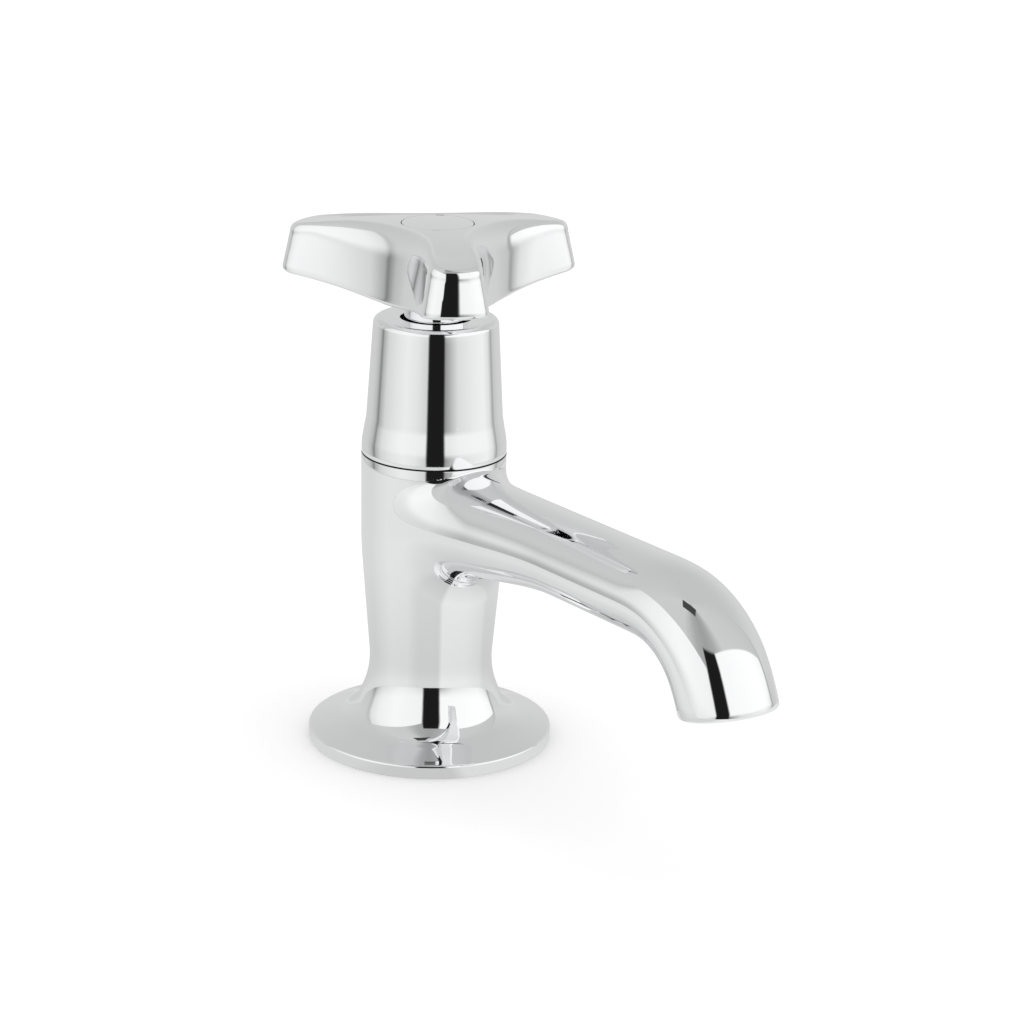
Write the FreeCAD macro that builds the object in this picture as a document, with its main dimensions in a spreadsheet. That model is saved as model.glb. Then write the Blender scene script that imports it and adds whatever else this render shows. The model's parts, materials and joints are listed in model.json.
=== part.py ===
import FreeCAD, Part
import math
import os
import re

import Sketcher

# A basin pillar tap with a three-armed turning handle, in millimetres.
# Origin: centre of the flange's underside, on the tap's axis. +Z is up, the spout points to -Y.

SIZES = {
    # flange and pillar
    "flange_radius": 24.0,
    "flange_rim": 2.6,
    "flange_rim_rounding": 0.5,
    "foot_radius": 15.4,
    "foot_height": 4.1,
    "foot_rounding": 6.0,
    "waist_radius": 12.05,
    "waist_height": 15.5,
    "waist_rounding": 18.0,
    "shoulder_radius": 13.95,
    "shoulder_height": 40.0,
    "shoulder_rounding": 90.0,
    "seam_radius": 14.1,
    "seam_height": 58.8,
    "seam_rounding": 0.25,
    # threaded tail, waterway and valve chamber
    "tail_radius": 10.4775,
    "tail_length": 50.0,
    "thread_pitch": 1.814,
    "thread_depth": 1.0,
    "thread_crest": 0.5,
    "plain_neck": 3.0,
    "spigot_radius": 9.3,
    "spigot_length": 4.0,
    "waterway_radius": 5.5,
    "seat_height": 40.0,
    "seat_width": 1.5,
    "seat_standing": 5.0,
    "chamber_radius": 9.6,
    "thread_clearance": 0.05,
    "cut_margin": 1.0,
    # spout
    "spout_top": 57.0,
    "spout_root_reach": 6.0,
    "spout_slim_reach": 42.0,
    "spout_bend_start": 70.7,
    "spout_bend_radius": 19.0,
    "spout_bend_turn": 66.0,
    "spout_end_run": 16.0,
    "outlet_reach": 89.75,
    "outlet_height": 34.25,
    "outlet_tilt": 12.5,
    "spout_root_half_width": 10.4,
    "spout_mid_half_width": 9.4,
    "spout_end_half_width": 9.45,
    "spout_root_half_height": 9.6,
    "spout_mid_half_height": 7.4,
    "spout_end_half_height": 7.75,
    "spout_wall": 2.2,
    "spout_root_rounding": 1.6,
    "port_reach": 7.8,
    "port_height": 45.6,
    "port_half_width": 5.6,
    "port_half_height": 4.0,
    # clamping under the deck
    "seal_thickness": 1.2,
    "seal_radius": 19.3,
    "seal_clearance": 0.2,
    "deck_thickness": 15.0,
    "clamp_washer_thickness": 3.0,
    "clamp_washer_radius": 18.0,
    "back_nut_across_flats": 32.0,
    "back_nut_height": 8.0,
    # headwork
    "headwork_washer_thickness": 1.0,
    "headwork_collar_radius": 12.0,
    "headwork_collar_height": 1.5,
    "headwork_across_flats": 21.0,
    "headwork_hex_height": 6.0,
    "neck_radius": 9.0,
    "neck_top": 80.0,
    "neck_chamfer": 0.8,
    "spindle_bore_radius": 4.65,
    "guide_clearance": 0.05,
    # valve carrier and its washer
    "valve_lift": 5.0,
    "seat_clearance": 0.05,
    "tap_washer_thickness": 3.5,
    "tap_washer_radius": 7.6,
    "tap_washer_hole": 1.8,
    "carrier_plate": 2.2,
    "carrier_rim_wall": 0.8,
    "carrier_rim_height": 1.6,
    "carrier_across_flats": 12.0,
    "carrier_stem": 14.2,
    "washer_screw_radius": 1.6,
    "washer_screw_length": 4.4,
    "washer_screw_head_radius": 3.2,
    "washer_screw_head_height": 1.8,
    # spindle
    "travel_clearance": 0.5,
    "spindle_thread_radius": 4.0,
    "spindle_radius": 4.58,
    "spindle_flange_radius": 5.9,
    "spindle_flange_height": 2.0,
    "thrust_washer_thickness": 0.8,
    "running_clearance": 0.05,
    "o_ring_section": 0.55,
    "o_ring_groove_width": 1.4,
    "o_ring_margin": 3.2,
    "o_ring_spacing": 4.0,
    "clip_thickness": 0.8,
    "clip_radius": 6.3,
    "clip_groove_depth": 0.7,
    "clip_opening": 4.0,
    "drive_start": 82.0,
    "drive_across_flats": 7.0,
    "drive_corner_radius": 4.5,
    "spindle_top": 93.5,
    # cover
    "cover_bottom_radius": 14.05,
    "cover_skirt_top": 61.0,
    "cover_flare_radius": 13.2,
    "cover_flare_height": 65.9,
    "cover_top_radius": 12.0,
    "cover_top": 85.5,
    "cover_top_rounding": 1.3,
    "cover_flare_rounding": 12.0,
    "cover_wall": 1.6,
    "cover_opening_radius": 6.9,
    "cover_thread_bottom": 69.0,
    "cover_thread_height": 6.0,
    "cover_web_overlap": 0.4,
    # handle
    "arm_count": 3,
    "arm_turn": 2.3,
    "arm_top_reach": 28.2,
    "arm_top_half_width": 3.6,
    "arm_foot_reach": 30.9,
    "arm_foot_half_width": 6.7,
    "arm_end_bulge": 1.1,
    "valley_top_radius": 13.4,
    "valley_foot_radius": 10.6,
    "handle_underside": 88.4,
    "handle_hub_radius": 8.5,
    "handle_underside_rise": 3.9,
    "handle_top": 103.9,
    "handle_crown_radius": 152.0,
    "handle_edge_rounding": 1.1,
    "collar_radius": 6.15,
    "collar_bottom": 83.6,
    "handle_web": 1.5,
    "screw_well_radius": 4.3,
    "index_radius": 6.9,
    "index_clearance": 0.1,
    "index_thickness": 1.65,
    "index_spigot_radius": 4.1,
    "index_spigot_length": 3.3,
    "index_o_ring_radius": 3.65,
    "index_o_ring_section": 0.6,
    # handle screw
    "handle_screw_radius": 2.0,
    "handle_screw_length": 10.0,
    "handle_screw_head_radius": 3.75,
    "handle_screw_head_height": 2.4,
    "screw_washer_thickness": 0.7,
    "screw_washer_radius": 3.95,
    "screw_slot_width": 1.0,
    "screw_slot_depth": 1.1,
}

# Heights and radii that follow from the sizes above.
DERIVED = {
    "chamber_floor": "seat_height - seat_standing",
    "tap_washer_bottom": "seat_height + seat_clearance",
    "tap_washer_top": "tap_washer_bottom + tap_washer_thickness",
    "carrier_plate_top": "tap_washer_top + carrier_plate",
    "carrier_top": "carrier_plate_top + carrier_stem",
    "carrier_bore_floor": "tap_washer_top + washer_screw_length + travel_clearance",
    "headwork_bottom": "carrier_plate_top + valve_lift + travel_clearance",
    "headwork_collar_bottom": "seam_height + headwork_washer_thickness",
    "headwork_collar_top": "headwork_collar_bottom + headwork_collar_height",
    "headwork_hex_top": "headwork_collar_top + headwork_hex_height",
    "spindle_tip": "carrier_bore_floor + valve_lift + travel_clearance",
    "spindle_flange_bottom": "carrier_top + valve_lift + travel_clearance",
    "spindle_flange_top": "spindle_flange_bottom + spindle_flange_height",
    "guide_top": "spindle_flange_top + thrust_washer_thickness + running_clearance",
    "lower_o_ring_height": "guide_top + o_ring_margin",
    "upper_o_ring_height": "lower_o_ring_height + o_ring_spacing",
    "o_ring_seat": "spindle_bore_radius - running_clearance - 2 * o_ring_section",
    "clip_bottom": "neck_top + running_clearance",
    "clip_top": "clip_bottom + clip_thickness",
    "clip_seat": "spindle_radius - clip_groove_depth",
    "socket_top": "spindle_top + travel_clearance",
    "web_top": "socket_top + handle_web",
    "screw_head_bottom": "web_top + screw_washer_thickness",
    "screw_head_top": "screw_head_bottom + handle_screw_head_height",
    "index_bottom": "handle_top - index_thickness",
    "index_o_ring_height": "index_bottom - index_spigot_length / 2",
    "index_o_ring_seat": "index_o_ring_radius - index_o_ring_section",
    "cover_inner_top": "cover_top - cover_wall",
    "clamp_washer_top": "-deck_thickness",
    "clamp_washer_bottom": "clamp_washer_top - clamp_washer_thickness",
    "back_nut_bottom": "clamp_washer_bottom - back_nut_height",
}

# Parts of the root's taper and of the bend's turn at which the spout's loft has a station.
TAPER_SHARES = (0.25, 0.5, 0.75)
BEND_SHARES = (0.25, 0.5, 0.75, 1.0)

os.makedirs("parts", exist_ok=True)
doc = FreeCAD.newDocument("pillar_tap")
sheet = doc.addObject("Spreadsheet::Sheet", "Sheet")
for row, (name, size) in enumerate(SIZES.items(), start=1):
    sheet.set(f"A{row}", name)
    sheet.set(f"B{row}", str(size))
    sheet.setAlias(f"B{row}", name)
doc.recompute()


def bound(text):
    """An expression over size names, written out over the sheet's cells."""
    def cell(match):
        word = match.group(0)
        if word in DERIVED:
            return f"({bound(DERIVED[word])})"
        return f"Sheet.{word}" if word in SIZES else word
    return re.sub(r"[a-z][a-z_]+", cell, str(text))


def value(text):
    return float(sheet.evalExpression(bound(text)))


def bind(thing, **properties):
    for name, text in properties.items():
        thing.setExpression(name.replace("__", "."), bound(text))
    return thing


def origin_plane(body, role):
    return next(feature for feature in body.Origin.OriginFeatures if feature.Role == role)


def bend(before, corner, after, radius):
    """Entry, exit and centre of an arc of this radius that rounds the corner."""
    back = (before - corner).normalize()
    on = (after - corner).normalize()
    half = back.getAngle(on) / 2
    run = radius / math.tan(half)
    centre = corner + (back + on).normalize() * (radius / math.sin(half))
    return corner + back * run, corner + on * run, centre


def turned_outline(body, name, corners):
    """A closed outline on the body's XZ plane through (radius, height) corners, some of them rounded."""
    sketch = body.newObject("Sketcher::SketchObject", name)
    sketch.AttachmentSupport = [(origin_plane(body, "XZ_Plane"), "")]
    sketch.MapMode = "FlatFace"
    spots = [FreeCAD.Vector(value(corner[0]), value(corner[1]), 0) for corner in corners]
    count = len(spots)
    starts, ends, centres = list(spots), list(spots), {}
    for index, corner in enumerate(corners):
        if len(corner) == 3:
            entry, leave, centre = bend(
                spots[index - 1], spots[index], spots[(index + 1) % count], value(corner[2]))
            ends[index], starts[index], centres[index] = entry, leave, centre
    for index in range(count):
        sketch.addGeometry(Part.LineSegment(starts[index], ends[(index + 1) % count]), False)

    def fix(direction, thing, point, text, size):
        number = sketch.addConstraint(Sketcher.Constraint(direction, -1, 1, thing, point, size))
        sketch.setExpression(f"Constraints[{number}]", bound(text))

    for index, corner in enumerate(corners):
        before = (index - 1) % count
        thing = index
        if index in centres:
            centre, entry, leave = centres[index], ends[index], starts[index]
            left = (entry - centre).cross(leave - centre).z > 0
            first, last = (entry, leave) if left else (leave, entry)
            angles = [math.atan2(spot.y - centre.y, spot.x - centre.x) for spot in (first, last)]
            circle = Part.Circle(centre, FreeCAD.Vector(0, 0, 1), value(corner[2]))
            arc = sketch.addGeometry(Part.ArcOfCircle(circle, *angles), False)
            sketch.addConstraint(Sketcher.Constraint("Tangent", before, 2, arc, 1 if left else 2))
            sketch.addConstraint(Sketcher.Constraint("Tangent", index, 1, arc, 2 if left else 1))
            number = sketch.addConstraint(Sketcher.Constraint("Radius", arc, value(corner[2])))
            sketch.setExpression(f"Constraints[{number}]", bound(corner[2]))
            thing = sketch.addGeometry(Part.Point(spots[index]), True)
            for line in (before, index):
                sketch.addConstraint(Sketcher.Constraint("PointOnObject", thing, 1, line))
        else:
            sketch.addConstraint(Sketcher.Constraint("Coincident", before, 2, index, 1))
        fix("DistanceX", thing, 1, corner[0], spots[index].x)
        fix("DistanceY", thing, 1, corner[1], spots[index].y)
    return sketch


def turned(label, corners):
    """A body turned about the Z axis from its (radius, height) or (radius, height, rounding) corners."""
    body = doc.addObject("PartDesign::Body", label)
    body.Label = label
    sketch = turned_outline(body, f"{label}_outline", corners)
    turning = body.newObject("PartDesign::Revolution", f"{label}_turning")
    turning.Profile = sketch
    turning.ReferenceAxis = (sketch, ["V_Axis"])
    turning.Angle = 360
    return body


def part_object(kind, label, **properties):
    thing = doc.addObject(f"Part::{kind}", label)
    thing.Label = label
    return bind(thing, **properties)


def combined(kind, label, first, second):
    """first cut by, or common with, second."""
    thing = doc.addObject(f"Part::{kind}", label)
    thing.Label = label
    thing.Base = first
    thing.Tool = second
    return thing


def fused(label, *pieces):
    thing = doc.addObject("Part::MultiFuse", label)
    thing.Label = label
    thing.Shapes = list(pieces)
    return thing


def hexagon(label, across_flats, bottom, height):
    prism = part_object("Prism", label, Circumradius=f"{across_flats} / 2 / cos(30deg)", Height=height)
    prism.Polygon = 6
    return bind(prism, Placement__Base__z=bottom)


def square(label, side, bottom, height):
    box = part_object("Box", label, Length=side, Width=side, Height=height)
    return bind(box, Placement__Base__x=f"-{side} / 2", Placement__Base__y=f"-{side} / 2",
                Placement__Base__z=bottom)


def cylinder(label, radius, bottom, height):
    return part_object("Cylinder", label, Radius=radius, Height=height, Placement__Base__z=bottom)


def ring(label, inner, outer, bottom, top):
    return turned(label, [(inner, bottom), (outer, bottom), (outer, top), (inner, top)])


def o_ring(label, radius, section, height):
    return part_object("Torus", label, Radius1=radius, Radius2=section, Placement__Base__z=height)


# --- body casting: flange, pillar, spout and threaded tail in one piece ---

def thread_corners():
    """Ring grooves up the tail, from the spigot at its end to the plain neck."""
    corners = []
    turns = int(value("(tail_length - spigot_length - plain_neck) / thread_pitch"))
    for turn in range(turns):
        start = f"-tail_length + spigot_length + {turn} * thread_pitch"
        middle = f"({start} + (thread_pitch + thread_crest) / 2)"
        corners.append(("tail_radius", f"{start} + thread_crest"))
        corners.append(("tail_radius - thread_depth", middle))
        corners.append(("tail_radius", f"{start} + thread_pitch"))
    return corners


def pillar():
    corners = [("0", "-tail_length"), ("spigot_radius", "-tail_length"),
               ("spigot_radius", "-tail_length + spigot_length"), ("tail_radius", "-tail_length + spigot_length")]
    corners += thread_corners()
    corners += [
        ("tail_radius", "seal_thickness"),
        ("seal_radius + seal_clearance", "seal_thickness"),
        ("seal_radius + seal_clearance", "0"),
        ("flange_radius", "0"),
        ("flange_radius", "flange_rim", "flange_rim_rounding"),
        ("foot_radius", "foot_height", "foot_rounding"),
        ("waist_radius", "waist_height", "waist_rounding"),
        ("shoulder_radius", "shoulder_height", "shoulder_rounding"),
        ("seam_radius", "seam_height", "seam_rounding"),
        ("0", "seam_height"),
    ]
    return turned("pillar", corners)


def spout_station(label, half_width, half_height, reach, height, turn):
    """An oval across the spout's centre line, which leans down by turn degrees here."""
    oval = part_object("Ellipse", label, MajorRadius=half_width, MinorRadius=half_height,
                       Placement__Base__y=f"-({reach})", Placement__Base__z=height)
    oval.Placement.Rotation = FreeCAD.Rotation(FreeCAD.Vector(1, 0, 0), 90)
    return bind(oval, Placement__Rotation__Angle=f"90deg + 1deg * ({turn})")


def spout_stations(label, inset, first_stations):
    """A loft from the first stations along the level run, round the bend and past the outlet."""
    stations = list(first_stations)
    width = "spout_mid_half_width"
    tall = "spout_mid_half_height"
    centre = f"(spout_top - {tall})"
    level_run = ("spout_slim_reach", "(spout_slim_reach + spout_bend_start) / 2", "spout_bend_start")
    for reach in level_run:
        stations.append((f"{width} - {inset}", f"{tall} - {inset}", reach, centre, "0"))
    for share in BEND_SHARES:
        turn = f"(spout_bend_turn * {share})"
        reach = f"spout_bend_start + spout_bend_radius * sin(1deg * {turn})"
        height = f"{centre} - spout_bend_radius * (1 - cos(1deg * {turn}))"
        half_width = f"{width} + (spout_end_half_width - {width}) * {share} - {inset}"
        half_height = f"{tall} + (spout_end_half_height - {tall}) * {share} - {inset}"
        stations.append((half_width, half_height, reach, height, turn))
    reach = "spout_bend_start + spout_bend_radius * sin(1deg * spout_bend_turn)"
    reach += " + spout_end_run * cos(1deg * spout_bend_turn)"
    height = f"{centre} - spout_bend_radius * (1 - cos(1deg * spout_bend_turn))"
    height += " - spout_end_run * sin(1deg * spout_bend_turn)"
    stations.append((f"spout_end_half_width - {inset}", f"spout_end_half_height - {inset}",
                     reach, height, "spout_bend_turn"))
    loft = doc.addObject("Part::Loft", label)
    loft.Label = label
    loft.Sections = [
        spout_station(f"{label}_station_{number}", *station)
        for number, station in enumerate(stations)
    ]
    loft.Solid = True
    loft.Ruled = False
    return loft


def spout_outside():
    root_height = "spout_top - spout_root_half_height"
    stations = [("spout_root_half_width", "spout_root_half_height", "spout_root_reach", root_height, "0")]
    for share in TAPER_SHARES:
        reach = f"spout_root_reach + (spout_slim_reach - spout_root_reach) * {share}"
        width = f"spout_root_half_width + (spout_mid_half_width - spout_root_half_width) * {share}"
        tall = f"(spout_root_half_height + (spout_mid_half_height - spout_root_half_height) * {share})"
        stations.append((width, tall, reach, f"spout_top - {tall}", "0"))
    return spout_stations("spout_shape", "0", stations)


def spout_bore():
    return spout_stations("spout_hollow", "spout_wall", [
        ("port_half_width", "port_half_height", "port_reach", "port_height", "0"),
        ("port_half_width", "port_half_height", "seam_radius", "port_height", "0"),
    ])


def below_outlet():
    """A block whose top is the outlet's plane, which faces back towards the pillar by outlet_tilt."""
    width = "(4 * spout_end_half_width)"
    depth = "(4 * spout_end_half_height)"
    block = part_object("Box", "below_outlet", Length=width, Width=depth, Height="outlet_height")
    block.Placement.Rotation = FreeCAD.Rotation(FreeCAD.Vector(1, 0, 0), -1)
    lean = "sin(1deg * outlet_tilt)"
    level = "cos(1deg * outlet_tilt)"
    return bind(block, Placement__Rotation__Angle="-1deg * outlet_tilt",
                Placement__Base__x=f"-{width} / 2",
                Placement__Base__y=f"-outlet_reach - {depth} / 2 * {level} - outlet_height * {lean}",
                Placement__Base__z=f"outlet_height + {depth} / 2 * {lean} - outlet_height * {level}")


def waterway():
    thread = "tail_radius + thread_clearance"
    return turned("waterway", [
        ("0", "-tail_length - cut_margin"),
        ("waterway_radius", "-tail_length - cut_margin"),
        ("waterway_radius", "seat_height"),
        ("waterway_radius + seat_width", "seat_height"),
        ("waterway_radius + seat_width", "chamber_floor"),
        ("chamber_radius", "chamber_floor"),
        ("chamber_radius", "headwork_bottom - running_clearance"),
        (thread, "headwork_bottom - running_clearance"),
        (thread, "seam_height + cut_margin"),
        ("0", "seam_height + cut_margin"),
    ])


def root_edges(shape):
    """Numbers of the edges where the spout's skin meets the pillar's."""
    numbers = []
    for number, edge in enumerate(shape.Edges, start=1):
        box = edge.BoundBox
        leans = box.YMin < -value("waist_radius") / 2 and box.ZMin > value("foot_height")
        short = box.YMin > -value("seam_radius") - value("seam_rounding")
        level = box.ZLength < 1e-4 or box.XLength < 1e-4
        if leans and short and not level:
            numbers.append(number)
    return numbers


def body_casting():
    outside = fused("casting_blank", pillar(), spout_outside())
    doc.recompute()
    rounded = part_object("Fillet", "casting_rounded")
    rounded.Base = outside
    radius = value("spout_root_rounding")
    rounded.Edges = [(number, radius, radius) for number in root_edges(outside.Shape)]
    hollow = fused("casting_hollow", waterway(), spout_bore(), below_outlet())
    return combined("Cut", "body_casting", rounded, hollow)


# --- clamping pieces round the tail ---

def clamping():
    hole = "tail_radius + thread_clearance"
    ring("base_seal", f"{hole} + seal_clearance", "seal_radius", "0", "seal_thickness")
    ring("back_nut_washer", hole, "clamp_washer_radius", "clamp_washer_bottom", "clamp_washer_top")
    blank = hexagon("back_nut_blank", "back_nut_across_flats", "back_nut_bottom", "back_nut_height")
    hole = cylinder("back_nut_hole", hole, "back_nut_bottom - cut_margin", "back_nut_height + 2 * cut_margin")
    combined("Cut", "back_nut", blank, hole)


# --- headwork: the screwed-in bonnet that guides spindle and valve carrier ---

def headwork():
    ring("headwork_washer", "tail_radius + seal_clearance", "headwork_collar_radius",
         "seam_height", "headwork_collar_bottom")
    turning = turned("headwork_turning", [
        ("0", "headwork_bottom"),
        ("tail_radius - neck_chamfer", "headwork_bottom"),
        ("tail_radius", "headwork_bottom + neck_chamfer"),
        ("tail_radius", "headwork_collar_bottom"),
        ("headwork_collar_radius", "headwork_collar_bottom"),
        ("headwork_collar_radius", "headwork_collar_top"),
        ("neck_radius", "headwork_collar_top"),
        ("neck_radius", "neck_top - neck_chamfer"),
        ("neck_radius - neck_chamfer", "neck_top"),
        ("0", "neck_top"),
    ])
    nut = hexagon("headwork_hexagon", "headwork_across_flats", "headwork_collar_top", "headwork_hex_height")
    guide = hexagon("carrier_guide", "(carrier_across_flats + 2 * guide_clearance)",
                    "headwork_bottom - cut_margin", "guide_top - headwork_bottom + cut_margin")
    bore = cylinder("spindle_bore", "spindle_bore_radius", "guide_top - cut_margin",
                    "neck_top - guide_top + 2 * cut_margin")
    combined("Cut", "headwork_body", fused("headwork_blank", turning, nut),
             fused("headwork_hollow", guide, bore))


# --- valve carrier, which slides up and down without turning ---

def valve():
    rim_inner = "tap_washer_radius + running_clearance"
    rim_outer = f"{rim_inner} + carrier_rim_wall"
    ring("tap_washer", "tap_washer_hole", "tap_washer_radius", "tap_washer_bottom", "tap_washer_top")
    plate = turned("carrier_plate_turning", [
        ("0", "tap_washer_top"),
        (rim_inner, "tap_washer_top"),
        (rim_inner, "tap_washer_top - carrier_rim_height"),
        (rim_outer, "tap_washer_top - carrier_rim_height"),
        (rim_outer, "carrier_plate_top"),
        ("0", "carrier_plate_top"),
    ])
    stem = hexagon("carrier_stem_hexagon", "carrier_across_flats", "tap_washer_top", "carrier_top - tap_washer_top")
    bore = cylinder("carrier_thread", "spindle_thread_radius + thread_clearance", "carrier_bore_floor",
                    "carrier_top - carrier_bore_floor + cut_margin")
    tapping = cylinder("carrier_tapping", "washer_screw_radius + thread_clearance",
                       "tap_washer_top - cut_margin", "carrier_bore_floor - tap_washer_top + 2 * cut_margin")
    combined("Cut", "valve_carrier", fused("carrier_blank", plate, stem),
             fused("carrier_hollow", bore, tapping))
    shank = turned("washer_screw_turning", [
        ("0", "tap_washer_bottom - washer_screw_head_height"),
        ("washer_screw_head_radius", "tap_washer_bottom - washer_screw_head_height"),
        ("washer_screw_head_radius", "tap_washer_bottom"),
        ("washer_screw_radius", "tap_washer_bottom"),
        ("washer_screw_radius", "tap_washer_top + washer_screw_length"),
        ("0", "tap_washer_top + washer_screw_length"),
    ])
    combined("Cut", "washer_screw", shank,
             screw_slot("washer_screw_slot", "washer_screw_head_radius",
                        "tap_washer_bottom - washer_screw_head_height - cut_margin"))


def screw_slot(label, head_radius, bottom):
    """A driver slot across a screw's head, screw_slot_depth deep from the head's face."""
    length = f"(2 * {head_radius} + 2 * cut_margin)"
    return part_object("Box", label, Length=length, Width="screw_slot_width",
                       Height="screw_slot_depth + cut_margin", Placement__Base__x=f"-{length} / 2",
                       Placement__Base__y="-screw_slot_width / 2", Placement__Base__z=bottom)


# --- spindle, held in the headwork by its flange below and a clip above ---

def groove_corners(radius, root, middle, width):
    return [(radius, f"{middle} - {width} / 2"), (root, f"{middle} - {width} / 2"),
            (root, f"{middle} + {width} / 2"), (radius, f"{middle} + {width} / 2")]


def spindle():
    corners = [
        ("0", "spindle_tip"),
        ("spindle_thread_radius", "spindle_tip"),
        ("spindle_thread_radius", "spindle_flange_bottom"),
        ("spindle_flange_radius", "spindle_flange_bottom"),
        ("spindle_flange_radius", "spindle_flange_top"),
        ("spindle_radius", "spindle_flange_top"),
    ]
    for height in ("lower_o_ring_height", "upper_o_ring_height"):
        corners += groove_corners("spindle_radius", "o_ring_seat", height, "o_ring_groove_width")
    corners += groove_corners("spindle_radius", "clip_seat", "(clip_bottom + clip_thickness / 2)",
                              "(clip_thickness + 2 * running_clearance)")
    corners += [("spindle_radius", "drive_start"), ("0", "drive_start")]
    shaft = turned("spindle_shaft", corners)
    drive = combined(
        "Common", "spindle_drive",
        square("drive_square", "drive_across_flats", "drive_start", "spindle_top - drive_start"),
        cylinder("drive_round", "drive_corner_radius", "drive_start", "spindle_top - drive_start"))
    tapping = cylinder("spindle_tapping", "handle_screw_radius + thread_clearance",
                       "screw_head_bottom - handle_screw_length - travel_clearance", "handle_screw_length")
    combined("Cut", "spindle", fused("spindle_blank", shaft, drive), tapping)
    ring("thrust_washer", "spindle_radius + running_clearance", "spindle_flange_radius",
         "spindle_flange_top", "spindle_flange_top + thrust_washer_thickness")
    for name in ("lower_o_ring", "upper_o_ring"):
        o_ring(name, "o_ring_seat + o_ring_section", "o_ring_section", f"{name}_height")
    clip = ring("clip_ring", "clip_seat + running_clearance", "clip_radius", "clip_bottom", "clip_top")
    mouth = part_object("Box", "clip_mouth", Length="clip_opening", Width="clip_radius + cut_margin",
                        Height="clip_thickness + 2 * cut_margin", Placement__Base__x="-clip_opening / 2",
                        Placement__Base__z="clip_bottom - cut_margin")
    combined("Cut", "spindle_clip", clip, mouth)


# --- cover: the bell-shaped shroud screwed on the headwork's neck ---

def cover():
    inner_low = "cover_bottom_radius - cover_wall"
    inner_flare = "cover_flare_radius - cover_wall"
    inner_top = "cover_top_radius - cover_wall"
    thread = "neck_radius + thread_clearance"
    shell = turned("cover_shell", [
        (inner_low, "seam_height"),
        ("cover_bottom_radius", "seam_height", "seam_rounding"),
        ("cover_bottom_radius", "cover_skirt_top", "cover_flare_rounding"),
        ("cover_flare_radius", "cover_flare_height", "cover_flare_rounding"),
        ("cover_top_radius", "cover_top", "cover_top_rounding"),
        ("cover_opening_radius", "cover_top", "seam_rounding"),
        ("cover_opening_radius", "cover_inner_top"),
        (inner_top, "cover_inner_top"),
        (inner_flare, "headwork_hex_top + cover_wall"),
        (inner_low, "headwork_hex_top"),
    ])
    web = ring("cover_thread_web", thread, f"{inner_flare} + cover_web_overlap", "cover_thread_bottom",
               "cover_thread_bottom + cover_thread_height")
    fused("cover", shell, web)


# --- handle with three arms ---

def handle_outline(label, reach, half_width, valley, bottom):
    """Bulged arm ends joined by hollow arcs that pass the axis at the valley radius."""
    count = int(value("arm_count"))
    step = 2 * math.pi / count
    start = math.radians(value("arm_turn"))
    height = value(bottom)
    out, side, middle = value(reach), value(half_width), value(valley)
    bulge = value("arm_end_bulge")

    def spot(turn, along, across=0.0):
        return FreeCAD.Vector(along * math.cos(turn) - across * math.sin(turn),
                              along * math.sin(turn) + across * math.cos(turn), height)

    edges = []
    for arm in range(count):
        turn = start + arm * step
        after = turn + step
        edges.append(Part.Arc(spot(turn, out, -side), spot(turn, out + bulge), spot(turn, out, side)).toShape())
        edges.append(Part.Arc(spot(turn, out, side), spot(turn + step / 2, middle), spot(after, out, -side)).toShape())
    outline = doc.addObject("Part::Feature", label)
    outline.Shape = Part.Wire(edges)
    return outline


def handle():
    sections = [
        handle_outline("arms_foot", "arm_foot_reach", "arm_foot_half_width", "valley_foot_radius",
                       "handle_underside"),
        handle_outline("arms_top", "arm_top_reach", "arm_top_half_width", "valley_top_radius", "handle_top"),
    ]
    arms = doc.addObject("Part::Loft", "arms")
    arms.Sections = sections
    arms.Solid = True
    arms.Ruled = True
    rim = "(arm_foot_reach + arm_end_bulge + cut_margin)"
    room = turned("handle_room", [
        ("0", "handle_underside"),
        ("handle_hub_radius", "handle_underside"),
        (rim, "handle_underside + handle_underside_rise"),
        (rim, "handle_top"),
        ("0", "handle_top"),
    ])
    crown = part_object("Sphere", "handle_crown", Radius="handle_crown_radius",
                        Placement__Base__z="handle_top - handle_crown_radius")
    blank = combined("Common", "arms_crowned", combined("Common", "arms_trimmed", arms, room), crown)
    doc.recompute()
    rounded = part_object("Fillet", "arms_rounded")
    rounded.Base = blank
    radius = value("handle_edge_rounding")
    outer = [number for number, edge in enumerate(blank.Shape.Edges, start=1)
             if edge.BoundBox.DiagonalLength > 1e-3
             and max(math.hypot(v.X, v.Y) for v in edge.Vertexes) > value("arm_top_reach") - radius]
    rounded.Edges = [(number, radius, radius) for number in outer]
    collar = cylinder("handle_collar", "collar_radius", "collar_bottom",
                      "handle_underside - collar_bottom + handle_web")
    socket_side = "(drive_across_flats + 2 * running_clearance)"
    socket_height = "socket_top - collar_bottom + cut_margin"
    socket = combined(
        "Common", "drive_socket",
        square("socket_square", socket_side, "collar_bottom - cut_margin", socket_height),
        cylinder("socket_round", "drive_corner_radius + running_clearance", "collar_bottom - cut_margin",
                 socket_height))
    hollow = turned("handle_hollow", [
        ("0", "socket_top - cut_margin"),
        ("handle_screw_radius + 2 * index_clearance", "socket_top - cut_margin"),
        ("handle_screw_radius + 2 * index_clearance", "web_top"),
        ("screw_well_radius", "web_top"),
        ("screw_well_radius", "index_bottom"),
        ("index_radius + index_clearance", "index_bottom"),
        ("index_radius + index_clearance", "handle_top + cut_margin"),
        ("0", "handle_top + cut_margin"),
    ])
    combined("Cut", "handle", fused("handle_blank", rounded, collar), fused("handle_hollows", socket, hollow))


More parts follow.
